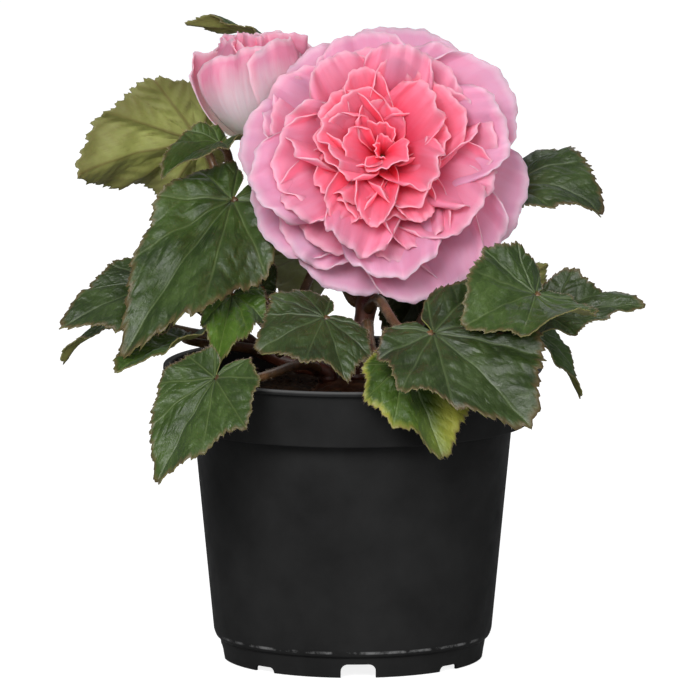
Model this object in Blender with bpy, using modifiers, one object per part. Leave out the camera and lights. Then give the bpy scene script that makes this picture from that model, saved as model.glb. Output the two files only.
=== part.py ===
"""A potted begonia: a black nursery pot of peat, with a tuber, its stems, twenty leaves and two double flowers.

Run with blender --background --python part.py. Metres, +Z up. The origin is the centre of the circle on which
the pot's foot stands, and the plant's front is towards -Y. Places in the tables are in millimetres.
"""

from collections import namedtuple
from math import cos, exp, pi, radians, sin, sqrt

import bmesh
import bpy
from mathutils import Vector

MM = 0.001
GAP = 0.3 * MM  # what touching pieces keep between them

# ---- the pot: turned, standing on a notched foot ring ----
LIP_RADIUS = 60.0 * MM
POT_HEIGHT = 93.6 * MM
LIP_HEIGHT = 1.6 * MM
BAND_TOP_RADIUS = 58.7 * MM
BAND_BOTTOM_RADIUS = 55.9 * MM
BAND_BOTTOM = 75.4 * MM
WALL_TOP_RADIUS = 50.4 * MM
WALL_BOTTOM_RADIUS = 44.0 * MM
WALL_BOTTOM = 8.8 * MM
FOOT_TOP_RADIUS = 42.1 * MM
FOOT_TOP = 6.4 * MM
FOOT_RADIUS = 41.1 * MM
POT_WALL = 1.2 * MM
FLOOR_UNDERSIDE = 4.8 * MM
FLOOR_THICKNESS = 1.6 * MM
POT_SEGMENTS = 48
WIDE_NOTCH = (11.0 * MM, 4.4 * MM)  # width and height
NARROW_NOTCH = (8.0 * MM, 1.8 * MM)
NOTCH_TURN = radians(2.4)  # how far the front notch is turned from -Y

# ---- soil and tuber ----
SOIL_LEVEL = 84.0 * MM
SOIL_CROWN = 85.5 * MM
TUBER_CENTRE = 79.0 * MM
TUBER_RADIUS = 17.0 * MM
TUBER_HALF_HEIGHT = 10.0 * MM

# ---- leaves ----
BLADE_THICKNESS = 0.9 * MM
LEAF_STALK_RADIUS = 1.5 * MM
SINUS_EDGE = radians(166)  # the basal lobes end here, either side of the stalk
BLADE_SPOKES = 18
BLADE_RINGS = (0.35, 0.7, 1.0)

# ---- flowers ----
PETAL_THICKNESS = 0.6 * MM
PETAL_ROWS = 5
PETAL_COLUMNS = 5
STALK_RADIUS = 2.2 * MM

Stem = namedtuple("Stem", "name tuber_side path thick thin")
# The side of the tuber's crown that a stem grows from, the points that it passes, and its radius at each end.
STEMS = (
    Stem("stem_middle", (1, 0), ((2, 1, 98), (4, 2, 110), (6, 4, 122)), 3.6, 3.0),
    Stem("stem_left", (-8, 1), ((-20, 2, 94), (-32, 3, 99), (-41, 4, 108), (-44, 6, 119)), 3.0, 2.2),
    Stem("stem_right", (8, 1), ((18, 2, 94), (29, 3, 98), (38, 4, 105), (43, 6, 113)), 3.0, 2.2),
)

Leaf = namedtuple("Leaf", "name stem share base tip face droop curl width back")
# Each leaf: the stem it grows from and how far along, where its stalk meets the blade, the blade's tip, which way
# its upper side faces, how far it arches along and cups across in degrees, and its width over its length.
LEAVES = (
    Leaf("leaf_left_large", "stem_left", 0.86, (-38, 0, 146), (-74, -36, 99), (-1, -8, 5), 30, -25, 0.62, 1),
    Leaf("leaf_left_top", "stem_left", 0.98, (-49, 48, 158), (-93, 30, 151), (1, 9, 3), 20, 30, 0.84, 1.1),
    Leaf("leaf_left_folded", "stem_left", 1, (-42, 14, 162), (-61, -8, 153), (-1, -5, 9), 30, -60, 0.6, 1),
    Leaf("leaf_left_low", "stem_left", 0.72, (-61, -8, 120), (-93, -22, 106), (-4, -6, 6), 30, -30, 0.95, 1.1),
    Leaf("leaf_left_tip", "stem_left", 0.6, (-70, 20, 106), (-93, 10, 91), (-2, 1, 9), 40, -40, 0.6, 1),
    Leaf("leaf_left_inner", "stem_left", 0.48, (-53, -14, 104), (-75, -42, 97), (1, 3, 9), 10, 20, 0.8, 1),
    Leaf("leaf_left_bright", "stem_left", 0.36, (-38, -11, 117), (-43, -42, 98), (1, -7, 6), 30, -60, 0.6, 1),
    Leaf("leaf_left_hidden", "stem_left", 0.24, (-29, 6, 117), (-31, 4, 139), (1, -8, 2), 20, -30, 0.55, 1),
    Leaf("leaf_front_left", "stem_left", 0.12, (-43, -52, 97), (-62, -66, 64), (-5, -8, 5), 15, -25, 0.85, 1.1),
    Leaf("leaf_front_middle", "stem_middle", 0.25, (-9, -38, 114), (-31, -50, 104), (-1, -6, 8), 25, -35, 1.35, 1.5),
    Leaf("leaf_front_right", "stem_middle", 0.45, (16, -54, 102), (29, -67, 72), (3, -8, 5), 16, -20, 1.1, 1),
    Leaf("leaf_right_large", "stem_middle", 0.65, (25, -57, 112), (57, -77, 84), (2, -8, 8), 25, -15, 1.1, 1.2),
    Leaf("leaf_right_bright", "stem_right", 0.7, (57, -42, 122), (33, -62, 114), (0, -7, 7), 25, 70, 1.25, 1.3),
    Leaf("leaf_right_outer", "stem_right", 0.85, (62, -8, 110), (93, -6, 112), (0, -6, 8), 30, 30, 0.7, 1.2),
    Leaf("leaf_right_top", "stem_right", 0.98, (48, 18, 147), (82, 8, 140), (1, -5, 8), 80, -40, 0.95, 1.3),
    Leaf("leaf_right_low", "stem_right", 0.5, (58, 12, 103), (72, 5, 80), (8, -3, 6), 30, -20, 0.6, 1),
    Leaf("leaf_right_brown", "stem_right", 0.6, (50, 10, 113), (62, 8, 125), (-1, 5, 3), 20, 30, 0.9, 1.2),
    Leaf("leaf_rear_top", "stem_middle", 0.95, (-25, 53, 187), (-55, 45, 195), (-1, 1, 9), 40, -40, 0.55, 1),
    Leaf("leaf_rear_left", "stem_left", 0.3, (-11, 38, 125), (-14, 78, 100), (0, -3, 8), 20, -30, 1.1, 1.2),
    Leaf("leaf_rear_right", "stem_right", 0.3, (26, 37, 119), (11, 45, 91), (0, -8, 3), 30, -30, 1.1, 1.1),
)

Flower = namedtuple("Flower", "stalk stem share path receptacle axis")
# A flower's stalk grows from a stem, passes these points and ends in the receptacle, whose axis is the flower's.
MAIN_FLOWER = Flower("flower_stalk", "stem_middle", 1.0, ((8, 12, 136),), (9, 3, 155), (0, -0.91, 0.41))
REAR_FLOWER = Flower(
    "rear_flower_stalk", "stem_middle", 0.72, ((-6, 11, 126), (-18, 19, 143)), (-27, 22, 160), (-0.12, 0.04, 0.98)
)
RECEPTACLE_LENGTH = 13 * MM
RECEPTACLE_RADII = (4.6, 4.4, 3.6, 2.6, 1.6)  # along its length, in millimetres

Whorl = namedtuple("Whorl", "name height opening_in opening_out length width angles")
# A whorl's height on the receptacle, its petals' angle from the flower's axis at the base and at the tip, their
# length and width, and the angle of each petal round the axis, from the viewer's right, anticlockwise.
MAIN_WHORLS = (
    Whorl("outer_petal", 0.6, 62, 100, 44, 44, (79, 122, 172, 214, 255, 296, 338, 33)),
    Whorl("second_petal", 4.2, 46, 84, 38, 37, (55, 104, 147, 195, 238, 282, 322, 8)),
    Whorl("third_petal", 7.6, 30, 62, 32, 33, (30, 92, 140, 190, 255, 315)),
    Whorl("heart_petal", 10.4, 12, 40, 23, 19, (20, 95, 200, 300)),
)
REAR_WHORLS = (
    Whorl("rear_petal", 1.0, 72, -25, 37, 30, (20, 80, 140, 200, 260, 320)),
)
ALTERNATE_LIFT = 1.7 * MM  # every second petal of a whorl sits this much further up
ALTERNATE_CLOSE = radians(4)  # and this much more closed


def collection_named(name):
    """A new collection in the scene."""
    made = bpy.data.collections.new(name)
    bpy.context.scene.collection.children.link(made)
    return made


def material(name, colour, roughness, metallic=0.0):
    """A Principled material of one colour."""
    made = bpy.data.materials.new(name)
    made.use_nodes = True
    shader = made.node_tree.nodes["Principled BSDF"]
    shader.inputs["Base Color"].default_value = (*colour, 1)
    shader.inputs["Roughness"].default_value = roughness
    shader.inputs["Metallic"].default_value = metallic
    return made


def place(name, data, group, finish):
    """An object for this mesh or curve, in its collection and with its material."""
    obj = bpy.data.objects.new(name, data)
    group.objects.link(obj)
    if data is not None and finish is not None:
        data.materials.append(finish)
    return obj


def helper(obj):
    """Marks an object as a cutter, which isn't part of the plant."""
    obj.hide_render = True
    obj.display_type = "WIRE"
    return obj


def modifier(obj, kind, **settings):
    """Adds a modifier with these settings."""
    made = obj.modifiers.new(kind.title(), kind)
    for key, value in settings.items():
        setattr(made, key, value)
    return made


def turned(name, profile, segments, group, finish):
    """A solid turned round Z from a profile of (radius, height), which runs down its outer side."""
    mesh = bpy.data.meshes.new(name)
    points = [(radius, 0, height) for radius, height in profile]
    edges = [(i, i + 1) for i in range(len(points) - 1)]
    mesh.from_pydata(points, edges, [])
    obj = place(name, mesh, group, finish)
    modifier(
        obj, "SCREW", axis="Z", angle=2 * pi, steps=segments, render_steps=segments,
        use_merge_vertices=True, merge_threshold=0.00005, use_smooth_shade=True,
    )
    return obj


def smooth_path(points, steps):
    """Points along a Catmull-Rom curve through the given ones."""
    ends = [points[0] * 2 - points[1], *points, points[-1] * 2 - points[-2]]
    path = []
    for a, b, c, d in zip(ends, ends[1:], ends[2:], ends[3:]):
        for i in range(steps):
            t = i / steps
            path.append(
                0.5 * (2 * b + (c - a) * t + (2 * a - 5 * b + 4 * c - d) * t**2 + (3 * b - a - 3 * c + d) * t**3)
            )
    return [*path, points[-1].copy()]


def tube(name, path, radii, group, finish, resolution=2):
    """A round stem along a path, with a radius for each point."""
    curve = bpy.data.curves.new(name, "CURVE")
    curve.dimensions = "3D"
    curve.bevel_depth = 1.0
    curve.bevel_resolution = resolution
    curve.use_fill_caps = True
    curve.twist_mode = "MINIMUM"
    spline = curve.splines.new("POLY")
    spline.points.add(len(path) - 1)
    for point, place_at, radius in zip(spline.points, path, radii):
        point.co = (*place_at, 1)
        point.radius = radius
    return place(name, curve, group, finish)


def tube_mesh(name, path, radii, group):
    """The same tube as a closed mesh, for a Boolean."""
    curve = tube(name, path, radii, group, None, resolution=1)
    bpy.context.view_layer.update()
    graph = bpy.context.evaluated_depsgraph_get()
    mesh = bpy.data.meshes.new_from_object(curve.evaluated_get(graph))
    body = bmesh.new()
    body.from_mesh(mesh)
    bmesh.ops.remove_doubles(body, verts=body.verts, dist=0.00001)
    bmesh.ops.recalc_face_normals(body, faces=body.faces)
    body.to_mesh(mesh)
    body.free()
    bpy.data.objects.remove(curve)
    return helper(place(name, mesh, group, None))


# ---- pot, soil and tuber ----


def wall_radius(height):
    """The pot's outer radius at a height on its wall."""
    share = (height - WALL_BOTTOM) / (BAND_BOTTOM - WALL_BOTTOM)
    return WALL_BOTTOM_RADIUS + share * (WALL_TOP_RADIUS - WALL_BOTTOM_RADIUS)


def band_radius(height):
    """The outer radius of the band under the lip at a height."""
    share = (height - BAND_BOTTOM) / (POT_HEIGHT - BAND_BOTTOM)
    return BAND_BOTTOM_RADIUS + share * (BAND_TOP_RADIUS - BAND_BOTTOM_RADIUS)


def make_pot(group, cutters, finish):
    """The pot: wall, band and lip, a raised floor and a foot ring, with drainage notches cut through the foot."""
    floor_top = FLOOR_UNDERSIDE + FLOOR_THICKNESS
    shelf = BAND_BOTTOM + POT_WALL
    profile = [
        (0, floor_top),
        (wall_radius(floor_top + POT_WALL) - POT_WALL - 2 * MM, floor_top),
        (wall_radius(floor_top + 3 * MM) - POT_WALL, floor_top + 3 * MM),
        (wall_radius(shelf) - POT_WALL, shelf),
        (band_radius(shelf) - POT_WALL, shelf),
        (band_radius(POT_HEIGHT) - POT_WALL, POT_HEIGHT - 0.4 * MM),
        (band_radius(POT_HEIGHT) - 0.6 * MM, POT_HEIGHT),
        (LIP_RADIUS - 0.4 * MM, POT_HEIGHT),
        (LIP_RADIUS, POT_HEIGHT - LIP_HEIGHT / 2),
        (LIP_RADIUS - 0.2 * MM, POT_HEIGHT - LIP_HEIGHT),
        (band_radius(POT_HEIGHT - LIP_HEIGHT), POT_HEIGHT - LIP_HEIGHT),
        (BAND_BOTTOM_RADIUS, BAND_BOTTOM),
        (WALL_TOP_RADIUS, BAND_BOTTOM - 0.4 * MM),
        (WALL_BOTTOM_RADIUS, WALL_BOTTOM),
        (FOOT_TOP_RADIUS + 1.1 * MM, FOOT_TOP + 0.6 * MM),
        (FOOT_TOP_RADIUS, FOOT_TOP),
        (FOOT_RADIUS, 0),
        (FOOT_RADIUS - POT_WALL, 0),
        (FOOT_TOP_RADIUS - POT_WALL, FLOOR_UNDERSIDE),
        (0, FLOOR_UNDERSIDE),
    ]
    pot = turned("pot", profile, POT_SEGMENTS, group, finish)
    for i in range(8):
        width, height = WIDE_NOTCH if i % 2 == 0 else NARROW_NOTCH
        cutter = notch_cutter(f"notch_cutter_{i}", width, height, NOTCH_TURN + i * pi / 4, cutters)
        modifier(pot, "BOOLEAN", operation="DIFFERENCE", object=cutter)
    return pot


def notch_cutter(name, width, height, turn, cutters):
    """A box across the foot ring, turned round Z from the front."""
    bpy.ops.mesh.primitive_cube_add(size=1)
    box = bpy.context.object
    box.name = name
    below = 1 * MM
    for vertex in box.data.vertices:
        vertex.co.x *= width
        vertex.co.y = -FOOT_RADIUS + vertex.co.y * 8 * MM
        vertex.co.z = height if vertex.co.z > 0 else -below
    box.rotation_euler.z = turn
    for owner in box.users_collection:
        owner.objects.unlink(box)
    cutters.objects.link(box)
    return helper(box)


def ellipsoid(name, grow, group, finish, segments, rings):
    """The tuber's shape, larger by grow, about its centre."""
    body = bmesh.new()
    bmesh.ops.create_uvsphere(body, u_segments=segments, v_segments=rings, radius=1)
    for vertex in body.verts:
        vertex.co.x *= TUBER_RADIUS + grow
        vertex.co.y *= TUBER_RADIUS + grow
        vertex.co.z = TUBER_CENTRE + vertex.co.z * (TUBER_HALF_HEIGHT + grow)
    mesh = bpy.data.meshes.new(name)
    body.to_mesh(mesh)
    body.free()
    return place(name, mesh, group, finish)


def make_soil(group, cutters, finish):
    """The peat plug: it fills the pot to under the lip, with a bowl round the tuber."""
    bottom = FLOOR_UNDERSIDE + FLOOR_THICKNESS + GAP
    shelf = BAND_BOTTOM + POT_WALL + GAP
    inset = POT_WALL + GAP
    profile = [
        (0, SOIL_CROWN),
        (30 * MM, SOIL_CROWN - 0.4 * MM),
        (band_radius(SOIL_LEVEL) - inset - 0.2 * MM, SOIL_LEVEL),
        (band_radius(shelf) - inset - 0.2 * MM, shelf),
        (wall_radius(shelf) - inset - 0.2 * MM, shelf),
        (wall_radius(bottom + 3 * MM) - inset - 0.2 * MM, bottom + 3 * MM),
        (wall_radius(bottom) - inset - 2.4 * MM, bottom),
        (0, bottom),
    ]
    soil = turned("soil", profile, POT_SEGMENTS, group, finish)
    bowl = helper(ellipsoid("tuber_bowl_cutter", GAP, cutters, None, 20, 12))
    modifier(soil, "BOOLEAN", operation="DIFFERENCE", object=bowl)
    return soil


def crown_point(side):
    """The point on the tuber's crown over (x, y) in millimetres, and the way out of it."""
    x, y = side[0] * MM, side[1] * MM
    rise = sqrt(1 - (x * x + y * y) / TUBER_RADIUS**2)
    point = Vector((x, y, TUBER_CENTRE + TUBER_HALF_HEIGHT * rise))
    out = Vector((x / TUBER_RADIUS**2, y / TUBER_RADIUS**2, rise / TUBER_HALF_HEIGHT))
    return point, out.normalized()


# ---- stems ----


def in_metres(point):
    return Vector(point) * MM


def stem_path(stem):
    """The stem's centreline, from just over the tuber."""
    point, out = crown_point(stem.tuber_side)
    start = point + out * 1.3 * GAP
    return [start, *smooth_path([start + out * 1.5 * MM, start + out * 4 * MM, *map(in_metres, stem.path)], 3)]


def stem_radii(stem, path):
    last = len(path) - 1
    return [(stem.thick + (stem.thin - stem.thick) * i / last) * MM for i in range(len(path))]


def point_on(path, radii, share):
    """(point, direction, radius) at a share of the path's length."""
    lengths = [(b - a).length for a, b in zip(path, path[1:])]
    left = share * sum(lengths)
    for i, length in enumerate(lengths):
        if left <= length or i == len(lengths) - 1:
            t = min(left / length, 1)
            direction = (path[i + 1] - path[i]).normalized()
            return path[i].lerp(path[i + 1], t), direction, radii[i] + (radii[i + 1] - radii[i]) * t
        left -= length


def branch_start(stem, share, towards, radius):
    """Where a stalk leaves its stem, towards a point, and the way it goes: from the stem's end or from its side."""
    path = stem_path(stem)
    point, direction, stem_radius = point_on(path, stem_radii(stem, path), share)
    if share >= 1:
        return point + direction * GAP, direction
    away = towards - point
    across = (away - direction * away.dot(direction)).normalized()
    lean = (across + direction * 0.35).normalized()
    return point + across * (stem_radius + GAP + 0.5 * radius), lean


def bezier(a, b, c, d, steps):
    """Points along a cubic Bezier curve."""
    path = []
    for i in range(steps + 1):
        t = i / steps
        path.append(a * (1 - t) ** 3 + b * 3 * t * (1 - t) ** 2 + c * 3 * t**2 * (1 - t) + d * t**3)
    return path


# ---- leaves ----


def blade_reach(angle, back):
    """A begonia blade's outline: the distance from the stalk over the blade's length, at an angle from the midrib."""
    side = abs(angle)
    reach = 0.43 + 0.20 * cos(angle) + 0.37 * exp(-((side / radians(17)) ** 1.5))
    reach *= 1 + 0.13 * sin(angle)
    reach *= 1 + (back - 1) * (1 - cos(angle)) / 2
    return reach * min(1, 0.35 + 0.65 * (pi - side) / radians(40))


def blade_axes(leaf):
    """(forward, side, up, length) of a blade at its stalk, such that its arched midrib ends at the tip."""
    chord = in_metres(leaf.tip) - in_metres(leaf.base)
    along = chord.normalized()
    face = Vector(leaf.face)
    face = (face - along * face.dot(along)).normalized()
    half = radians(leaf.droop) / 2
    forward = along * cos(half) + face * sin(half)
    up = face * cos(half) - along * sin(half)
    return forward, up.cross(forward), up, chord.length * half / sin(half)


def blade_point(leaf, axes, x, y):
    """A point of the blade, x along the midrib and y across it when flat, cupped across and arched along."""
    forward, side, up, length = axes
    curl = radians(leaf.curl) / (leaf.width * length)
    across, lift = sin(curl * y) / curl, (1 - cos(curl * y)) / curl
    arch = radians(leaf.droop) / length
    ahead = sin(arch * x) * (1 / arch + lift)
    height = cos(arch * x) * (1 / arch + lift) - 1 / arch
    return in_metres(leaf.base) + forward * ahead + side * across + up * height


def blade_mesh(leaf):
    """The blade as an open sheet of spokes and rings about the stalk, open at the sinus."""
    axes = blade_axes(leaf)
    length = axes[3]
    points = [blade_point(leaf, axes, 0, 0)]
    for i in range(BLADE_SPOKES + 1):
        angle = -SINUS_EDGE + 2 * SINUS_EDGE * i / BLADE_SPOKES
        for ring in BLADE_RINGS:
            reach = blade_reach(angle, leaf.back) * length * ring
            points.append(blade_point(leaf, axes, reach * cos(angle), reach * sin(angle) * leaf.width))
    rings = len(BLADE_RINGS)
    faces = []
    for i in range(BLADE_SPOKES):
        a, b = 1 + i * rings, 1 + (i + 1) * rings
        faces.append((0, a, b))
        faces += [(a + k, a + k + 1, b + k + 1, b + k) for k in range(rings - 1)]
    mesh = bpy.data.meshes.new(leaf.name)
    mesh.from_pydata(points, [], faces)
    return mesh


def leaf_stalk_path(leaf, stems):
    """The leaf's own stalk, from its stem up to the underside of its blade."""
    forward, _, up, _ = blade_axes(leaf)
    base = in_metres(leaf.base)
    start, lean = branch_start(stems[leaf.stem], leaf.share, base, LEAF_STALK_RADIUS)
    reach = (base - start).length
    arrive = (forward * 0.45 - up * 0.3 + Vector((0, 0, 0.55))).normalized()
    rise = Vector((0, 0, 0.12)) * reach
    return bezier(start, start + lean * reach * 0.3 + rise, base - arrive * reach * 0.3, base, 6)


def make_leaf(leaf, stems, group, cutters, finish):
    """A leaf: its blade, with its stalk joined to it."""
    blade = place(leaf.name, blade_mesh(leaf), group, finish)
    modifier(blade, "SOLIDIFY", thickness=BLADE_THICKNESS, offset=0)
    path = leaf_stalk_path(leaf, stems)
    radii = [LEAF_STALK_RADIUS * (1.1 - 0.25 * i / (len(path) - 1)) for i in range(len(path))]
    stalk = tube_mesh(leaf.name + "_stalk", path, radii, cutters)
    modifier(blade, "BOOLEAN", operation="UNION", object=stalk)
    return blade


# ---- flowers ----


def flower_axes(flower):
    """(axis, right, up) of a flower, as seen by a viewer that it faces."""
    axis = Vector(flower.axis).normalized()
    right = Vector((1, 0, 0))
    right = (right - axis * right.dot(axis)).normalized()
    return axis, right, axis.cross(right)


def receptacle_radius(height):
    """The receptacle's radius at a height over its base."""
    place_at = max(0, min(height / RECEPTACLE_LENGTH, 0.999)) * (len(RECEPTACLE_RADII) - 1)
    low = int(place_at)
    return (RECEPTACLE_RADII[low] + (RECEPTACLE_RADII[low + 1] - RECEPTACLE_RADII[low]) * (place_at - low)) * MM


def make_flower_stalk(flower, stems, group, finish):
    """The stalk and the receptacle at its end, in one piece."""
    axis = flower_axes(flower)[0]
    base = in_metres(flower.receptacle)
    way = [in_metres(point) for point in flower.path]
    start, lean = branch_start(stems[flower.stem], flower.share, way[0], STALK_RADIUS)
    way += [base - axis * 9 * MM, base - axis * 2 * MM]
    path = [start, *smooth_path([start + lean * 1.5 * MM, start + lean * 4 * MM, *way], 3)]
    radii = [STALK_RADIUS] * len(path)
    for i, radius in enumerate(RECEPTACLE_RADII):
        path.append(base + axis * RECEPTACLE_LENGTH * i / (len(RECEPTACLE_RADII) - 1))
        radii.append(radius * MM)
    return tube(flower.stalk, path, radii, group, finish)


def petal_half_width(share, whorl):
    """Half a petal's width at a share of its length: narrow at the claw, broad and round beyond the middle."""
    swell = sin(pi * min(1, 0.08 + 0.86 * share) ** 1.35) ** 0.6
    return 0.5 * whorl.width * MM * max(swell, 0.14)


def closest_spacing(degrees):
    """The least angle between neighbours in a ring of angles."""
    ring = sorted(degrees)
    return radians(min(b - a for a, b in zip(ring, [*ring[1:], ring[0] + 360])))


def petal_mesh(name, flower, whorl, order):
    """A petal as an open sheet on a surface turned round the flower's axis."""
    axis, right, up = flower_axes(flower)
    lifted = order % 2
    height = whorl.height * MM + lifted * ALTERNATE_LIFT
    radius = receptacle_radius(height) + PETAL_THICKNESS / 2 + GAP
    middle = radians(whorl.angles[order])
    widest = 0.46 * closest_spacing(whorl.angles[lifted::2])
    rows = []
    step = whorl.length * MM / PETAL_ROWS
    for row in range(PETAL_ROWS + 1):
        share = row / PETAL_ROWS
        turn = min(petal_half_width(share, whorl) / radius, widest)
        rows.append([])
        for column in range(PETAL_COLUMNS + 1):
            across = 2 * column / PETAL_COLUMNS - 1
            angle = middle + across * turn
            shorten = (1 - sqrt(1 - 0.75 * across * across)) * step * 1.2 * share
            way = right * cos(angle) + up * sin(angle)
            opening = petal_opening(whorl, share, lifted)
            point = axis * (height - shorten * cos(opening)) + way * (radius - shorten * sin(opening))
            rows[-1].append(in_metres(flower.receptacle) + point)
        opening = petal_opening(whorl, share + 0.5 / PETAL_ROWS, lifted)
        radius += step * sin(opening)
        height += step * cos(opening)
    across_count = PETAL_COLUMNS + 1
    faces = []
    for row in range(PETAL_ROWS):
        for column in range(PETAL_COLUMNS):
            a = row * across_count + column
            faces.append((a, a + 1, a + across_count + 1, a + across_count))
    mesh = bpy.data.meshes.new(name)
    mesh.from_pydata([point for row in rows for point in row], [], faces)
    return mesh


def petal_opening(whorl, share, lifted):
    """The angle between a petal and the flower's axis at a share of its length."""
    opening = whorl.opening_in + (whorl.opening_out - whorl.opening_in) * share
    return radians(opening) - lifted * ALTERNATE_CLOSE


def make_petals(flower, whorls, group, finishes):
    for whorl in whorls:
        for order in range(len(whorl.angles)):
            name = f"{whorl.name}_{order + 1}"
            petal = place(name, petal_mesh(name, flower, whorl, order), group, finishes[whorl.name])
            modifier(petal, "SOLIDIFY", thickness=PETAL_THICKNESS, offset=0)


def smooth_shade(group):
    for obj in group.objects:
        if obj.type == "MESH":
            obj.data.shade_smooth()
            obj.data.set_sharp_from_angle(angle=radians(35))


def main():
    for obj in list(bpy.data.objects):
        bpy.data.objects.remove(obj)
    plant = collection_named("potted_begonia")
    cutters = collection_named("cutters")

    black = material("black_plastic", (0.02, 0.02, 0.02), 0.45)
    peat = material("peat", (0.035, 0.02, 0.012), 0.95)
    cork = material("tuber_skin", (0.12, 0.06, 0.03), 0.85)
    stem_red = material("stem_red_brown", (0.12, 0.035, 0.015), 0.4)
    leaf_green = material("leaf_green", (0.045, 0.075, 0.025), 0.45)
    pink = material("petal_pink", (0.85, 0.37, 0.48), 0.55)
    coral = material("petal_coral", (0.88, 0.18, 0.25), 0.55)

    make_pot(plant, cutters, black)
    make_soil(plant, cutters, peat)
    ellipsoid("tuber", 0, plant, cork, 20, 12)

    stems = {stem.name: stem for stem in STEMS}
    for stem in STEMS:
        path = stem_path(stem)
        tube(stem.name, path, stem_radii(stem, path), plant, stem_red)
    for flower in (MAIN_FLOWER, REAR_FLOWER):
        make_flower_stalk(flower, stems, plant, stem_red)
    for leaf in LEAVES:
        make_leaf(leaf, stems, plant, cutters, leaf_green)

    finishes = {"outer_petal": pink, "second_petal": pink, "third_petal": coral}
    finishes |= {"heart_petal": coral, "rear_petal": pink}
    make_petals(MAIN_FLOWER, MAIN_WHORLS, plant, finishes)
    make_petals(REAR_FLOWER, REAR_WHORLS, plant, finishes)
    smooth_shade(plant)


main()
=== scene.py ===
"""The looks of a potted begonia over the CAD frame: pot, peat, tuber, stems, leaves and two double flowers.

Metres, +Z up, in the frame of the CAD. Places in the tables are in millimetres, as in the CAD.
"""

from collections import namedtuple
from math import cos, pi, radians, sin, sqrt

import bmesh
import bpy
import numpy as np
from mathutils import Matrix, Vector, noise


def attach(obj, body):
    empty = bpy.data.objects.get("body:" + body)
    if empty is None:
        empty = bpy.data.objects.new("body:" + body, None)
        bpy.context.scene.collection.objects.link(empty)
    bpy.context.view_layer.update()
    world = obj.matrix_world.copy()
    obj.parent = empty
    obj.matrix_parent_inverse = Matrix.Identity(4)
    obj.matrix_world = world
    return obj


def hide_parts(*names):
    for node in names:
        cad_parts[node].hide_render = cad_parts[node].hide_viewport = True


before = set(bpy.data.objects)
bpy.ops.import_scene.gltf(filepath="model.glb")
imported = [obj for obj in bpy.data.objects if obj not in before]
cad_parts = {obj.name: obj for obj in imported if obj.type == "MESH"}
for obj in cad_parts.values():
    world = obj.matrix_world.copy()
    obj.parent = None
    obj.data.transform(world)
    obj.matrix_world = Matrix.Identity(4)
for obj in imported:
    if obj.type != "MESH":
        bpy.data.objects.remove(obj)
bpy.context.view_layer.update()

MM = 0.001

# ---- camera and lamps, in metres ----
TARGET = Vector((-0.0015, 0, 0.0985))
DISTANCE = 3.5
ELEVATION = radians(8.6)
FOCAL_LENGTH = 573
SENSOR_WIDTH = 36
LAMP_TARGET = Vector((0, 0, 0.11))
SKY_LIGHT = 0.27
FLOOR_GREY = 0.5
FLOOR_GLOW = 0.86
# Each lamp's name, place, width and power in watts.
LAMPS = (
    ("key", (-0.42, -1.35, 0.95), 0.8, 23),
    ("fill", (0.6, -1.5, 0.7), 0.9, 10),
    ("back", (0.3, 1.2, 1.1), 0.9, 3),
)

# ---- sizes shared with the CAD, in metres ----
LIP_RADIUS = 60.0 * MM
POT_HEIGHT = 93.6 * MM
LIP_HEIGHT = 1.6 * MM
BAND_TOP_RADIUS = 58.7 * MM
BAND_BOTTOM_RADIUS = 55.9 * MM
BAND_BOTTOM = 75.4 * MM
WALL_TOP_RADIUS = 50.4 * MM
WALL_BOTTOM_RADIUS = 44.0 * MM
WALL_BOTTOM = 8.8 * MM
FOOT_TOP_RADIUS = 42.1 * MM
FOOT_TOP = 6.4 * MM
FOOT_RADIUS = 41.1 * MM
POT_WALL = 1.2 * MM
FLOOR_UNDERSIDE = 4.8 * MM
FLOOR_TOP = 6.4 * MM
NOTCHES = 8
WIDE_NOTCH = (11.0 * MM, 4.4 * MM)
NARROW_NOTCH = (8.0 * MM, 1.8 * MM)
NOTCH_TURN = radians(2.4)
SOIL_LEVEL = 84.0 * MM
TUBER_CENTRE = 79.0 * MM
TUBER_RADIUS = 17.0 * MM
TUBER_HALF_HEIGHT = 10.0 * MM
GAP = 0.3 * MM

# ---- the looks alone ----
SOIL_SEED = 71
STEM_SEED = 40
MAIN_FLOWER_SEED = 1000
REAR_FLOWER_SEED = 3000
POT_STEPS = 192
CRUMBS = 420
LEAF_THICKNESS = 0.35 * MM
PETAL_THICKNESS = 0.3 * MM
HAIR_WIDTH = 0.045 * MM
HAIR_LENGTH = 0.9 * MM
STEM_HAIR_SPACING = 0.25 * MM
LEAF_STALK_HAIR_SPACING = 0.2 * MM

Stem = namedtuple("Stem", "name tuber_side path thick thin")
STEMS = (
    Stem("middle", (1, 0), ((2, 1, 98), (4, 2, 110), (6, 4, 122)), 3.6, 3.0),
    Stem("left", (-8, 1), ((-20, 2, 94), (-32, 3, 99), (-41, 4, 108), (-44, 6, 119)), 3.0, 2.2),
    Stem("right", (8, 1), ((18, 2, 94), (29, 3, 98), (38, 4, 105), (43, 6, 113)), 3.0, 2.2),
)

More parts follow.
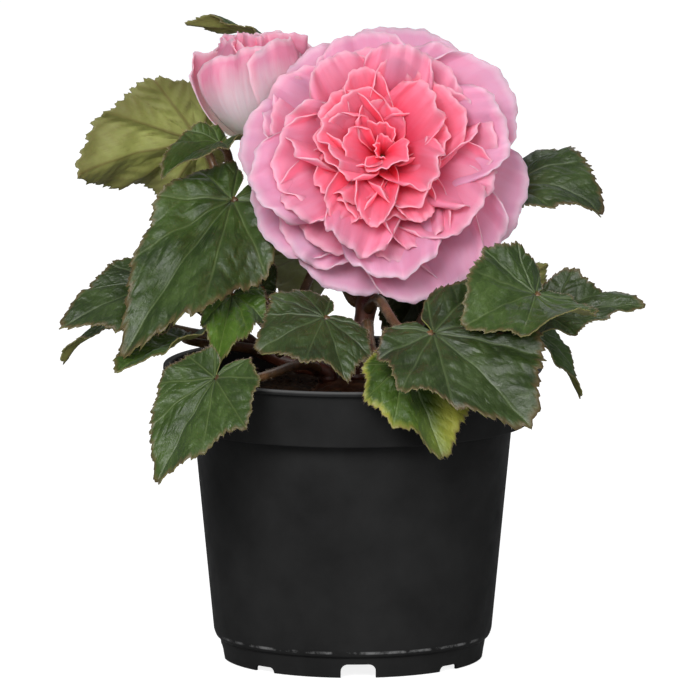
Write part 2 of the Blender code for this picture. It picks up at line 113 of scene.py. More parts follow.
# As in the CAD: a leaf's stem and how far along it the stalk starts, where the stalk meets the blade, its
# tip, the way it faces, its droop and curl in degrees, its width over its length, and its base's reach.
Leaf = namedtuple("Leaf", "name stem share base tip face droop curl width back")
LEAVES = (
    Leaf("left_large", "left", 0.86, (-38, 0, 146), (-74, -36, 99), (-1, -8, 5), 30, -25, 0.62, 1),
    Leaf("left_top", "left", 0.98, (-49, 48, 158), (-93, 30, 151), (1, 9, 3), 20, 30, 0.84, 1.1),
    Leaf("left_folded", "left", 1, (-42, 14, 162), (-61, -8, 153), (-1, -5, 9), 30, -60, 0.6, 1),
    Leaf("left_low", "left", 0.72, (-61, -8, 120), (-93, -22, 106), (-4, -6, 6), 30, -30, 0.95, 1.1),
    Leaf("left_tip", "left", 0.6, (-70, 20, 106), (-93, 10, 91), (-2, 1, 9), 40, -40, 0.6, 1),
    Leaf("left_inner", "left", 0.48, (-53, -14, 104), (-75, -42, 97), (1, 3, 9), 10, 20, 0.8, 1),
    Leaf("left_bright", "left", 0.36, (-38, -11, 117), (-43, -42, 98), (1, -7, 6), 30, -60, 0.6, 1),
    Leaf("left_hidden", "left", 0.24, (-29, 6, 117), (-31, 4, 139), (1, -8, 2), 20, -30, 0.55, 1),
    Leaf("front_left", "left", 0.12, (-43, -52, 97), (-62, -66, 64), (-5, -8, 5), 15, -25, 0.85, 1.1),
    Leaf("front_middle", "middle", 0.25, (-9, -38, 114), (-31, -50, 104), (-1, -6, 8), 25, -35, 1.35, 1.5),
    Leaf("front_right", "middle", 0.45, (16, -54, 102), (29, -67, 72), (3, -8, 5), 16, -20, 1.1, 1),
    Leaf("right_large", "middle", 0.65, (25, -57, 112), (57, -77, 84), (2, -8, 8), 25, -15, 1.1, 1.2),
    Leaf("right_bright", "right", 0.7, (57, -42, 122), (33, -62, 114), (0, -7, 7), 25, 70, 1.25, 1.3),
    Leaf("right_outer", "right", 0.85, (62, -8, 110), (93, -6, 112), (0, -6, 8), 30, 30, 0.7, 1.2),
    Leaf("right_top", "right", 0.98, (48, 18, 147), (82, 8, 140), (1, -5, 8), 80, -40, 0.95, 1.3),
    Leaf("right_low", "right", 0.5, (58, 12, 103), (72, 5, 80), (8, -3, 6), 30, -20, 0.6, 1),
    Leaf("right_brown", "right", 0.6, (50, 10, 113), (62, 8, 125), (-1, 5, 3), 20, 30, 0.9, 1.2),
    Leaf("rear_top", "middle", 0.95, (-25, 53, 187), (-55, 45, 195), (-1, 1, 9), 40, -40, 0.55, 1),
    Leaf("rear_left", "left", 0.3, (-11, 38, 125), (-14, 78, 100), (0, -3, 8), 20, -30, 1.1, 1.2),
    Leaf("rear_right", "right", 0.3, (26, 37, 119), (11, 45, 91), (0, -8, 3), 30, -30, 1.1, 1.1),
)
# Each leaf's green from dark (0) to bright (1), how ruffled its margin is, and how far its halves fold up
# about the midrib in degrees.
LOOKS = {
    "left_large": (0.2, 1.8, 6),
    "left_top": (0.4, 2.2, 0),
    "left_folded": (0.25, 1.2, 35),
    "left_low": (0.12, 1.2, 5),
    "left_tip": (0.05, 1.2, 10),
    "left_inner": (0.4, 0.9, 6),
    "left_bright": (0.62, 1.9, 20),
    "left_hidden": (0.1, 1.6, 15),
    "front_left": (0.24, 1.3, 12),
    "front_middle": (0.1, 1.3, 3),
    "front_right": (0.38, 2.2, 4),
    "right_large": (0.08, 1.0, 4),
    "right_bright": (0.22, 2.4, 6),
    "right_outer": (0.06, 2.2, 4),
    "right_top": (0.12, 1.2, 6),
    "right_low": (0.4, 1.2, 8),
    "right_brown": (0.1, 1.6, 0),
    "rear_top": (0.2, 1.5, 15),
    "rear_left": (0.05, 1.0, 4),
    "rear_right": (0.05, 1.0, 4),
}
LEAF_STALK_RADIUS = 1.5 * MM
# The blade has no edge beyond this angle from its midrib: the notch that its stalk sits in.
SINUS_EDGE = radians(168)
# The main veins' angles, and how far the lobe at each one stands out.
VEIN_ANGLES = np.radians([0, 31, -31, 64, -64, 103, -103, 145, -145])
LOBE_SIZES = (0.0, 0.13, 0.10, 0.16, 0.14, 0.12, 0.13, 0.08, 0.08)

Flower = namedtuple("Flower", "stalk stem share path receptacle axis")
MAIN_FLOWER = Flower("flower_stalk", "middle", 1.0, ((8, 12, 136),), (9, 3, 155), (0, -0.91, 0.41))
REAR_FLOWER = Flower(
    "rear_flower_stalk", "middle", 0.72, ((-6, 11, 126), (-18, 19, 143)), (-27, 22, 160), (-0.12, 0.04, 0.98),
)
RECEPTACLE_LENGTH = 13 * MM
RECEPTACLE_RADII = (4.6, 4.4, 3.6, 2.6, 1.6)
STALK_RADIUS = 2.2 * MM

# A whorl much as in the CAD: its height on the receptacle, its petals' angles from the flower's axis at their
# base and tip, their length and width, and their places round the axis. Then how ruffled they are, how far
# their sides fold forward in millimetres, and their material. A whorl whose nodes is False isn't in the CAD.
Whorl = namedtuple(
    "Whorl", "name nodes height opening_in opening_out length width angles ruffle pleat material",
)
MAIN_WHORLS = (
    Whorl("outer", True, 0.6, 62, 100, 44, 52, (79, 122, 172, 214, 255, 296, 338, 33), 1, 1.2, "outer"),
    Whorl("back", False, 2.2, 56, 92, 43, 44, (56, 100, 147, 193, 234, 276, 317, 8), 1.5, 1.5, "outer"),
    Whorl("second", True, 4.2, 46, 84, 38, 42, (55, 104, 147, 195, 238, 282, 322, 8), 1.4, 2, "middle"),
    Whorl("fold", False, 5.8, 38, 80, 38, 32, (24, 76, 122, 168, 212, 262, 300, 344), 1.9, 3, "middle"),
    Whorl("third", True, 7.6, 30, 62, 32, 38, (30, 92, 140, 190, 255, 315), 1.4, 2.5, "inner"),
    Whorl("core", False, 8.6, 22, 62, 31, 30, (4, 40, 142, 180, 222, 332), 1.7, 3.0, "inner"),
    Whorl("flute", False, 9.0, 26, 84, 33, 20, (244, 268, 296), 1.1, 5.5, "inner"),
    Whorl("crest", False, 8.4, 26, 62, 34, 22, (74, 106), 0.7, 4.5, "inner"),
    Whorl("brow", False, 9.6, 8, 40, 20, 44, (96,), 1.2, 0.5, "inner"),
    Whorl("tip", False, 11.6, 4, 30, 13, 14, (60, 180, 300), 0.5, 0.4, "inner"),
    Whorl("heart", True, 10.4, 12, 44, 23, 28, (20, 95, 200, 300), 1.0, 1.6, "inner"),
)
REAR_WHORLS = (
    Whorl("rear", True, 1.0, 72, -25, 37, 34, (20, 80, 140, 200, 260, 320), 1.1, 1.0, "rear"),
    Whorl("rear_fold", False, 5.0, 40, -4, 32, 24, (50, 110, 170, 230, 290), 1.8, 3.0, "middle"),
)


# ---- materials ----


def srgb(code):
    """A linear colour for a six-digit hexadecimal one."""
    parts = [int(code[i:i + 2], 16) / 255 for i in (0, 2, 4)]
    return (*[c / 12.92 if c <= 0.04045 else ((c + 0.055) / 1.055) ** 2.4 for c in parts], 1)


class Shading:
    """A material's nodes, added one call at a time."""

    def __init__(self, name, roughness, specular=0.5):
        self.material = bpy.data.materials.new(name)
        self.material.use_nodes = True
        self.tree = self.material.node_tree
        self.shader = self.tree.nodes["Principled BSDF"]
        self.set(self.shader, **{"Roughness": roughness, "Specular IOR Level": specular})

    def put(self, socket, value):
        """Feeds a node's input: from another node's output, or with a value or the code of a colour."""
        if isinstance(value, bpy.types.NodeSocket):
            self.tree.links.new(value, socket)
        else:
            socket.default_value = srgb(value) if isinstance(value, str) else value

    def set(self, node, **values):
        for key, value in values.items():
            self.put(node.inputs[key], value)

    def add(self, kind, output=0, settings=(), **values):
        node = self.tree.nodes.new(kind)
        for key, value in settings:
            setattr(node, key, value)
        self.set(node, **values)
        return node.outputs[output]

    def attribute(self, name):
        return self.add("ShaderNodeAttribute", "Fac", (("attribute_name", name),))

    def position(self):
        return self.add("ShaderNodeTexCoord", "Object")

    def noise(self, scale, detail=3.0, roughness=0.55, vector=None):
        vector = vector or self.position()
        return self.add(
            "ShaderNodeTexNoise", "Fac", Vector=vector, Scale=scale, Detail=detail, Roughness=roughness
        )

    def math(self, operation, a, b=0.5, clamp=False):
        node = self.tree.nodes.new("ShaderNodeMath")
        node.operation = operation
        node.use_clamp = clamp
        for socket, value in zip(node.inputs, (a, b)):
            self.put(socket, value)
        return node.outputs[0]

    def range(self, value, low, high, to_low=0.0, to_high=1.0):
        return self.add(
            "ShaderNodeMapRange", 0, (), **{
                "Value": value, "From Min": low, "From Max": high, "To Min": to_low, "To Max": to_high,
            }
        )

    def ramp(self, value, *stops):
        """A colour ramp with (place, colour) stops."""
        node = self.tree.nodes.new("ShaderNodeValToRGB")
        elements = node.color_ramp.elements
        while len(elements) < len(stops):
            elements.new(0.5)
        for element, (place, colour) in zip(elements, stops):
            element.position = place
            element.color = srgb(colour)
        self.tree.links.new(value, node.inputs[0])
        return node.outputs[0]

    def mix(self, share, a, b, blend="MIX"):
        node = self.tree.nodes.new("ShaderNodeMix")
        node.data_type = "RGBA"
        node.blend_type = blend
        for socket, value in zip((node.inputs[0], node.inputs[6], node.inputs[7]), (share, a, b)):
            self.put(socket, value)
        return node.outputs[2]

    def bump(self, height, strength, distance):
        normal = self.add("ShaderNodeBump", 0, (), Height=height, Strength=strength, Distance=distance)
        self.set(self.shader, Normal=normal)

    def colour(self, socket):
        self.put(self.shader.inputs["Base Color"], socket)


def pot_material():
    s = Shading("black_plastic", 0.5, 0.02)
    cloud = s.noise(55, 4)
    black = s.ramp(cloud, (0.3, "1e1e1e"), (0.7, "262626"))
    height = s.add("ShaderNodeSeparateXYZ", "Z", (), Vector=s.position())
    # Painted highlights: a broken pale line along the wall's foot, and a pale line all round the lip's edge.
    over_foot = s.range(height, 7.7 * MM, 8.1 * MM)
    under_wall = s.range(height, 8.5 * MM, 8.9 * MM, 1.0, 0.0)
    foot_edge = s.math("MULTIPLY", over_foot, under_wall)
    painted_foot_highlight = s.math("MULTIPLY", foot_edge, s.range(s.noise(130, 5, 0.7), 0.48, 0.6))
    painted_lip_highlight = s.math("MULTIPLY", s.range(height, POT_HEIGHT - 0.9 * MM, POT_HEIGHT - 0.2 * MM), 0.5)
    # The pale grey mixed in here is the painted highlight on the foot and the lip.
    s.colour(s.mix(s.math("MAXIMUM", painted_foot_highlight, painted_lip_highlight), black, "6f6f6f"))
    s.set(s.shader, Roughness=s.range(s.noise(140, 5), 0.3, 0.7, 0.42, 0.56))
    s.bump(s.noise(900, 2), 0.12, 0.0002)
    return s.material


def soil_material():
    s = Shading("peat", 0.95, 0.2)
    grain = s.noise(700, 6, 0.7)
    clod = s.noise(160, 4)
    dark = s.ramp(clod, (0.3, "120b07"), (0.75, "3a2616"))
    s.colour(s.mix(s.range(grain, 0.55, 0.75), dark, "5a3d26"))
    s.bump(grain, 0.8, 0.0006)
    return s.material


def tuber_material():
    s = Shading("tuber_skin", 0.85, 0.25)
    s.colour(s.ramp(s.noise(220, 6, 0.65), (0.3, "2b1a10"), (0.55, "573722"), (0.8, "7d5a3c")))
    s.bump(s.noise(500, 4), 0.6, 0.0006)
    return s.material


def stem_material():
    s = Shading("stem_skin", 0.38, 0.45)
    green = s.attribute("tone")
    streak = s.noise(260, 4)
    red = s.ramp(streak, (0.3, "3a1d12"), (0.55, "5d3020"), (0.8, "7c4a34"))
    fresh = s.ramp(streak, (0.3, "55502a"), (0.7, "86804a"))
    s.colour(s.mix(green, red, fresh))
    s.set(s.shader, **{
        "Subsurface Weight": 0.08, "Subsurface Radius": (0.6, 0.3, 0.15), "Subsurface Scale": 0.002,
    })
    s.bump(s.noise(1200, 3), 0.25, 0.0002)
    return s.material


def leaf_material():
    s = Shading("leaf_upper", 0.36, 0.42)
    vein, margin, tone = (s.attribute(name) for name in ("vein", "margin", "tone"))
    cloud = s.noise(70, 5, 0.6)
    dark = s.ramp(cloud, (0.3, "141e08"), (0.5, "243111"), (0.75, "394727"))
    bright = s.ramp(cloud, (0.3, "2c4a0e"), (0.5, "456616"), (0.75, "658828"))
    base = s.mix(tone, dark, bright)
    yellow = s.attribute("yellow")
    base = s.mix(yellow, base, s.ramp(cloud, (0.3, "8f9a32"), (0.7, "bdb94a")))
    speck = s.range(s.noise(1500, 2), 0.66, 0.78)
    base = s.mix(s.math("MULTIPLY", speck, 0.3), base, "7f8f70")
    base = s.mix(s.math("MULTIPLY", vein, 0.42, True), base, s.mix(tone, "5d6c48", "8a9c4c"))
    edge = s.range(margin, 0.93, 1.0)
    s.colour(s.mix(s.math("MULTIPLY", edge, 0.55), base, "6e5138"))
    s.set(s.shader, Roughness=s.range(s.noise(300, 4), 0.3, 0.7, 0.36, 0.54))
    s.set(s.shader, **{
        "Sheen Weight": 0.05, "Sheen Roughness": 0.4, "Sheen Tint": "c9d6dd",
        "Subsurface Weight": 0.06, "Subsurface Radius": (0.3, 0.6, 0.1), "Subsurface Scale": 0.001,
    })
    relief = s.math("SUBTRACT", s.noise(260, 5, 0.6), s.math("MULTIPLY", vein, 0.45))
    s.bump(relief, 0.55, 0.0011)
    return s.material


def leaf_under_material():
    s = Shading("leaf_underside", 0.6, 0.35)
    vein, margin = s.attribute("vein"), s.attribute("margin")
    cloud = s.noise(60, 5, 0.6)
    base = s.ramp(cloud, (0.25, "70753a"), (0.5, "8a8f4c"), (0.8, "a6aa66"))
    base = s.mix(s.range(margin, 0.5, 1.0, 0.0, 0.7), base, "5f5a34")
    s.colour(s.mix(s.math("MULTIPLY", vein, 0.6, True), base, "64512c"))
    s.set(s.shader, **{
        "Subsurface Weight": 0.1, "Subsurface Radius": (0.3, 0.6, 0.1), "Subsurface Scale": 0.001,
    })
    s.bump(s.noise(600, 4), 0.3, 0.0004)
    return s.material


def hair_material():
    s = Shading("leaf_hair", 0.55, 0.3)
    s.colour(s.ramp(s.noise(90, 2), (0.3, "8a6a55"), (0.7, "cdbfae")))
    return s.material


def petal_material(name, base, body, light, edge):
    """A petal's colours from its claw out, and of its very edge, which is paler as a painted highlight."""
    s = Shading(name, 0.5, 0.3)
    along, across = s.attribute("along"), s.attribute("across")
    streaks = s.add(
        "ShaderNodeCombineXYZ", 0, (), X=s.math("MULTIPLY", across, 9.0), Y=s.math("MULTIPLY", along, 1.4),
        Z=s.math("MULTIPLY", s.attribute("tone"), 40.0),
    )
    veins = s.noise(1.6, 4, 0.6, streaks)
    cloud = s.noise(60, 3)
    place = s.math("ADD", along, s.math("MULTIPLY", s.math("SUBTRACT", cloud, 0.5), 0.35))
    place = s.math("ADD", place, s.math("MULTIPLY", s.math("SUBTRACT", veins, 0.5), 0.22))
    colour = s.ramp(place, (0.15, base), (0.55, body), (0.9, light))
    # The pale very edge is a painted highlight.
    margin = s.range(s.attribute("margin"), 0.93, 1.0)
    s.colour(s.mix(s.math("MULTIPLY", margin, 0.6), colour, edge))
    s.set(s.shader, **{
        "Subsurface Weight": 0.6, "Subsurface Radius": (1.0, 0.4, 0.42), "Subsurface Scale": 0.006,
        "Sheen Weight": 0.05, "Sheen Roughness": 0.5, "Sheen Tint": "ffe4ea",
    })
    s.bump(veins, 0.25, 0.0006)
    return s.material


MATERIALS = {
    "pot": pot_material(),
    "soil": soil_material(),
    "tuber": tuber_material(),
    "stem": stem_material(),
    "leaf": leaf_material(),
    "leaf_under": leaf_under_material(),
    "hair": hair_material(),
    # Each petal material's last colour is its pale very edge, a painted highlight.
    "petal_outer": petal_material("petal_outer", "f4506e", "f4779a", "f08cae", "fac6d6"),
    "petal_middle": petal_material("petal_middle", "fc3654", "fb6080", "f77e9b", "fcb4c6"),
    "petal_inner": petal_material("petal_inner", "ff2240", "ff4663", "ff6e88", "ffa9ba"),
    "petal_rear": petal_material("petal_rear", "f5e6d4", "f2bcc6", "f07c9a", "f9c9d6"),
}


# ---- mesh building ----


def new_object(name, data):
    """An object in the scene."""
    obj = bpy.data.objects.new(name, data)
    bpy.context.scene.collection.objects.link(obj)
    return obj


def object_of(name, body):
    """An object made of a bmesh, which is freed."""
    mesh = bpy.data.meshes.new(name)
    body.to_mesh(mesh)
    body.free()
    return new_object(name, mesh)


class Build:
    """Collects closed bits of mesh, their materials and their vertex values, and makes one object of them."""

    values = ("vein", "margin", "tone", "yellow", "along", "across")

    def __init__(self):
        self.points, self.faces, self.slots = [], [], []
        self.marks = {key: [] for key in self.values}
        self.count = 0

    def add(self, points, faces, slot, **marks):
        points = np.asarray(points, float).reshape(-1, 3)
        self.points.append(points)
        self.faces += [tuple(int(i) + self.count for i in face) for face in faces]
        self.slots += [slot] * len(faces)
        for key in self.values:
            self.marks[key].append(np.broadcast_to(np.asarray(marks.get(key, 0.0), float), (len(points),)))
        self.count += len(points)

    def object(self, name, materials):
        mesh = bpy.data.meshes.new(name)
        mesh.from_pydata(np.concatenate(self.points).tolist(), [], self.faces)
        for material in materials:
            mesh.materials.append(MATERIALS[material])
        mesh.polygons.foreach_set("material_index", self.slots)
        for key in self.values:
            values = np.concatenate(self.marks[key]).astype(np.float32)
            if values.any():
                mesh.attributes.new(key, "FLOAT", "POINT").data.foreach_set("value", values)
        mesh.shade_smooth()
        mesh.update()
        return new_object(name, mesh)


def grid_faces(rows, columns):
    """Quads of a grid of points, rows by columns."""
    first = (np.arange(rows - 1)[:, None] * columns + np.arange(columns - 1)[None, :]).ravel()
    return [tuple(face) for face in np.stack([first, first + columns, first + columns + 1, first + 1], 1)]


def grid_normals(grid):
    """Unit normals of a grid of points, on the side that its faces face."""
    down = np.gradient(grid, axis=0)
    along = np.gradient(grid, axis=1)
    normals = np.cross(down, along)
    return normals / np.maximum(np.linalg.norm(normals, axis=2, keepdims=True), 1e-12)


def add_sheet(build, grid, thickness, slots, **marks):
    """A closed sheet over a grid. slots gives the materials of its upper side, its underside and its rim."""
    rows, columns = grid.shape[:2]
    upper = grid.reshape(-1, 3)
    under = (grid - grid_normals(grid) * thickness).reshape(-1, 3)
    count = rows * columns
    faces = grid_faces(rows, columns)
    index = np.arange(count).reshape(rows, columns)
    loop = [*index[0, :-1], *index[:-1, -1], *index[-1, :0:-1], *index[:0:-1, 0]]
    rim = [(a, b, b + count, a + count) for a, b in zip(loop, [*loop[1:], loop[0]])]
    under_faces = [tuple(i + count for i in reversed(face)) for face in faces]
    all_marks = {key: np.tile(np.asarray(value, float).reshape(-1), 2) for key, value in marks.items()}
    first_under = len(build.slots) + len(faces)
    build.add(np.concatenate([upper, under]), faces + under_faces + rim, slots[0], **all_marks)
    build.slots[first_under:] = [slots[1]] * len(faces) + [slots[2]] * len(rim)


def frames_along(path):
    """(tangents, sides, ups) along a path without twist."""
    path = np.asarray(path, float)
    tangents = np.gradient(path, axis=0)
    tangents /= np.linalg.norm(tangents, axis=1, keepdims=True)
    side = np.cross(tangents[0], (0.31, 0.17, 0.93))
    sides = []
    for tangent in tangents:
        side = side - tangent * side.dot(tangent)
        side /= np.linalg.norm(side)
        sides.append(side)
    sides = np.array(sides)
    return tangents, sides, np.cross(tangents, sides)


def add_tube(build, path, radii, slot, sides, rough, seed, **marks):
    """A round closed stem along a path."""
    path = np.asarray(path, float)
    _, across, up = frames_along(path)
    turns = np.linspace(0, 2 * pi, sides, endpoint=False)
    rng = np.random.default_rng(seed)
    phases = rng.uniform(0, 2 * pi, 6)
    rows = np.arange(len(path))[:, None]
    wobble = np.sin(2 * turns + rows * 0.21 + phases[0]) + 0.6 * np.sin(rows * 0.63 + phases[1] + turns)
    ring = np.cos(turns)[None, :, None] * across[:, None, :] + np.sin(turns)[None, :, None] * up[:, None, :]
    points = path[:, None, :] + ring * (np.asarray(radii)[:, None] * (1 + rough * wobble))[:, :, None]
    count = len(path) * sides
    faces = []
    for row in range(len(path) - 1):
        for i in range(sides):
            j = (i + 1) % sides
            a = row * sides
            faces.append((a + i, a + j, a + sides + j, a + sides + i))
    faces += [(count, (i + 1) % sides, i) for i in range(sides)]
    last = count - sides
    faces += [(count + 1, last + i, last + (i + 1) % sides) for i in range(sides)]
    build.add(np.concatenate([points.reshape(-1, 3), path[:1], path[-1:]]), faces, slot, **marks)


def add_spikes(build, roots, directions, lengths, width, slot):
    """Hairs: a thin closed three-sided spike at each root."""
    roots, directions = np.asarray(roots), np.asarray(directions)
    directions = directions / np.maximum(np.linalg.norm(directions, axis=1, keepdims=True), 1e-9)
    helper = np.where(np.abs(directions[:, 2:3]) < 0.9, np.array([[0, 0, 1.0]]), np.array([[1.0, 0, 0]]))
    a = np.cross(directions, helper)
    a /= np.linalg.norm(a, axis=1, keepdims=True)
    b = np.cross(directions, a)
    base = roots - directions * width
    corners = [base + width * (cos(t) * a + sin(t) * b) for t in (0, 2 * pi / 3, 4 * pi / 3)]
    tips = roots + directions * np.asarray(lengths)[:, None]
    points = np.stack([*corners, tips], 1).reshape(-1, 3)
    faces = []
    for i in range(len(roots)):
        k = 4 * i
        faces += [(k, k + 2, k + 1), (k, k + 1, k + 3), (k + 1, k + 2, k + 3), (k + 2, k, k + 3)]
    build.add(points, faces, slot)


def smooth_path(points, steps):
    """Points along a Catmull-Rom curve through the given ones."""
    ends = [points[0] * 2 - points[1], *points, points[-1] * 2 - points[-2]]
    path = []
    for a, b, c, d in zip(ends, ends[1:], ends[2:], ends[3:]):
        for i in range(steps):
            t = i / steps
            square, cube = (2 * a - 5 * b + 4 * c - d) * t**2, (3 * b - a - 3 * c + d) * t**3
            path.append(0.5 * (2 * b + (c - a) * t + square + cube))
    return [*path, points[-1].copy()]


def bezier(a, b, c, d, steps):
    """Points along a cubic curve from a to d that leaves towards b and arrives from c."""
    path = []
    for i in range(steps + 1):
        t = i / steps
        path.append(a * (1 - t) ** 3 + b * 3 * t * (1 - t) ** 2 + c * 3 * t**2 * (1 - t) + d * t**3)
    return path


def in_metres(point):
    return Vector(point) * MM


def finish_piece(obj, slot, *nodes):
    """Attaches a piece to the root and hides the CAD nodes that it replaces. Its slot is not used."""
    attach(obj, "root")
    if nodes:
        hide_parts(*nodes)


# ---- pot, soil and tuber ----


def wall_radius(height):
    """The wall's outside radius at a height."""
    share = (height - WALL_BOTTOM) / (BAND_BOTTOM - WALL_BOTTOM)
    return WALL_BOTTOM_RADIUS + share * (WALL_TOP_RADIUS - WALL_BOTTOM_RADIUS)


def band_radius(height):
    """The outside radius of the band under the lip, at a height."""
    share = (height - BAND_BOTTOM) / (POT_HEIGHT - BAND_BOTTOM)
    return BAND_BOTTOM_RADIUS + share * (BAND_TOP_RADIUS - BAND_BOTTOM_RADIUS)


def make_pot():
    """The pot, turned from its profile with rounded corners, then notched at its foot."""
    shelf = BAND_BOTTOM + POT_WALL
    # Radius, height, and how far the corner is rounded in millimetres.
    profile = [
        (0.0, FLOOR_TOP, 0), (wall_radius(FLOOR_TOP) - POT_WALL - 2 * MM, FLOOR_TOP, 0.8),
        (wall_radius(FLOOR_TOP + 3 * MM) - POT_WALL, FLOOR_TOP + 3 * MM, 0.8),
        (wall_radius(shelf) - POT_WALL, shelf, 0.5), (band_radius(shelf) - POT_WALL, shelf, 0.5),
        (band_radius(POT_HEIGHT) - POT_WALL, POT_HEIGHT - 0.2 * MM, 0.4),
        (LIP_RADIUS - 0.1 * MM, POT_HEIGHT, 0.55), (LIP_RADIUS, POT_HEIGHT - LIP_HEIGHT, 0.45),
        (band_radius(POT_HEIGHT - LIP_HEIGHT), POT_HEIGHT - LIP_HEIGHT, 0.3),
        (BAND_BOTTOM_RADIUS, BAND_BOTTOM, 0.5), (WALL_TOP_RADIUS, BAND_BOTTOM - 0.4 * MM, 0.8),
        (WALL_BOTTOM_RADIUS, WALL_BOTTOM, 0.9), (FOOT_TOP_RADIUS + 1.1 * MM, FOOT_TOP + 0.6 * MM, 0.4),
        (FOOT_TOP_RADIUS, FOOT_TOP, 0.3), (FOOT_RADIUS, 0.0, 0.35), (FOOT_RADIUS - POT_WALL, 0.0, 0.35),
        (FOOT_TOP_RADIUS - POT_WALL, FLOOR_UNDERSIDE, 0.4), (0.0, FLOOR_UNDERSIDE, 0),
    ]
    outline = []
    for i, (radius, height, rounding) in enumerate(profile):
        here = np.array((radius, height))
        if rounding == 0:
            outline.append(here)
            continue
        before, after = (np.array(profile[k][:2]) for k in (i - 1, i + 1))
        reach = [min(rounding * MM, 0.45 * np.linalg.norm(end - here)) for end in (before, after)]
        a = here + (before - here) / np.linalg.norm(before - here) * reach[0]
        b = here + (after - here) / np.linalg.norm(after - here) * reach[1]
        outline += [a * (1 - t) ** 2 + here * 2 * t * (1 - t) + b * t**2 for t in (0, 0.25, 0.5, 0.75, 1)]
    mesh = bpy.data.meshes.new("pot_visual")
    mesh.from_pydata([(r, 0, z) for r, z in outline], [(i, i + 1) for i in range(len(outline) - 1)], [])
    mesh.materials.append(MATERIALS["pot"])
    pot = new_object("pot_visual", mesh)
    screw = pot.modifiers.new("Screw", "SCREW")
    screw.steps = screw.render_steps = POT_STEPS
    screw.use_merge_vertices = True
    screw.merge_threshold = 0.02 * MM
    screw.use_smooth_shade = True
    cutters = []
    for i in range(NOTCHES):
        width, height = WIDE_NOTCH if i % 2 == 0 else NARROW_NOTCH
        cutter = notch_cutter(f"notch_cutter_{i}", width, height, NOTCH_TURN + i * 2 * pi / NOTCHES)
        cutters.append(cutter)
        cut = pot.modifiers.new("Notch", "BOOLEAN")
        cut.object = cutter
    apply_modifiers(pot)
    for cutter in cutters:
        bpy.data.objects.remove(cutter)
    pot.data.shade_smooth()
    pot.data.set_sharp_from_angle(angle=radians(40))
    finish_piece(pot, "black_plastic", "pot")


def notch_cutter(name, width, height, turn):
    """An arched block across the foot ring: its upper corners are rounded."""
    outline = [(-width / 2, -1 * MM), (width / 2, -1 * MM)]
    rounding = min(height * 0.8, 2.2 * MM)
    for sign, angles in ((1, range(0, 91, 15)), (-1, range(90, 181, 15))):
        for degrees in angles:
            t = radians(degrees)
            x = sign * (width / 2 - rounding) + rounding * cos(t)
            outline.append((x, height - rounding + rounding * sin(t)))
    body = bmesh.new()
    ends = (-FOOT_RADIUS - 4 * MM, -FOOT_RADIUS + 4 * MM)
    rows = [[body.verts.new((x, y, z)) for x, z in outline] for y in ends]
    body.faces.new(rows[0])
    body.faces.new(rows[1][::-1])
    for i in range(len(outline)):
        j = (i + 1) % len(outline)
        body.faces.new((rows[0][j], rows[0][i], rows[1][i], rows[1][j]))
    bmesh.ops.recalc_face_normals(body, faces=body.faces)
    obj = object_of(name, body)
    obj.rotation_euler.z = turn
    return obj


def apply_modifiers(obj):
    """Replaces an object's mesh with what its modifiers make of it."""
    bpy.context.view_layer.update()
    graph = bpy.context.evaluated_depsgraph_get()
    made = bpy.data.meshes.new_from_object(obj.evaluated_get(graph))
    obj.modifiers.clear()
    obj.data = made


def soil_height(x, y):
    """The peat's surface: lumpy, and a little lower at the pot's wall."""
    radius = sqrt(x * x + y * y)
    lumps = noise.fractal(Vector((x * 160, y * 160, 0.3)), 0.8, 2.1, 5)
    fine = noise.noise(Vector((x * 900, y * 900, 4.1)))
    return SOIL_LEVEL + 1.6 * MM - 1.4 * MM * (radius / (57 * MM)) ** 2 + lumps * 1.1 * MM + fine * 0.35 * MM


def turned_faces(rows, columns):
    """The faces of a closed body whose rings of points go from its top to its foot."""
    faces = []
    for i in range(rows - 1):
        for j in range(columns):
            k = (j + 1) % columns
            faces.append((i * columns + j, (i + 1) * columns + j, (i + 1) * columns + k, i * columns + k))
    faces.append(tuple(range(columns)))
    faces.append(tuple(range((rows - 1) * columns, rows * columns))[::-1])
    return faces


def make_soil():
    """The top of the peat, with crumbs on it. The rest of it can't be seen."""
    build = Build()
    rings, spokes = 90, 220
    outer = band_radius(SOIL_LEVEL) - POT_WALL - GAP
    turns = [2 * pi * j / spokes for j in range(spokes)]
    grid = []
    for i in range(rings):
        radius = outer * (0.004 + 0.996 * i / (rings - 1))
        places = [(radius * cos(turn), radius * sin(turn)) for turn in turns]
        grid.append([(x, y, soil_height(x, y)) for x, y in places])
    foot = ((outer - 0.3 * MM, 82 * MM), (band_radius(78 * MM) - 2.4 * MM, 78 * MM), (20 * MM, 77.5 * MM))
    for radius, height in foot:
        grid.append([(radius * cos(turn), radius * sin(turn), height) for turn in turns])
    build.add(grid, turned_faces(len(grid), spokes), 0)
    rng = np.random.default_rng(SOIL_SEED)
    lump = bmesh.new()
    bmesh.ops.create_icosphere(lump, subdivisions=1, radius=1)
    shape = np.array([tuple(v.co) for v in lump.verts])
    lump_faces = [tuple(v.index for v in f.verts) for f in lump.faces]
    lump.free()
    for _ in range(CRUMBS):
        radius, angle = outer * 0.97 * sqrt(rng.uniform(0.02, 1)), rng.uniform(0, 2 * pi)
        x, y = radius * cos(angle), radius * sin(angle)
        size = rng.uniform(0.4, 1.3) * MM * np.array([1, rng.uniform(0.5, 1), rng.uniform(0.4, 0.8)])
        points = shape * (1 + rng.uniform(-0.25, 0.25, (len(shape), 1))) * size
        turn = rng.uniform(0, pi)
        points = points @ np.array([[cos(turn), sin(turn), 0], [-sin(turn), cos(turn), 0], [0, 0, 1]])
        build.add(points + (x, y, soil_height(x, y) + 0.2 * MM), lump_faces, 0)
    soil = build.object("soil_visual", ["soil"])
    soil.data.set_sharp_from_angle(angle=radians(50))
    finish_piece(soil, "peat", "soil")


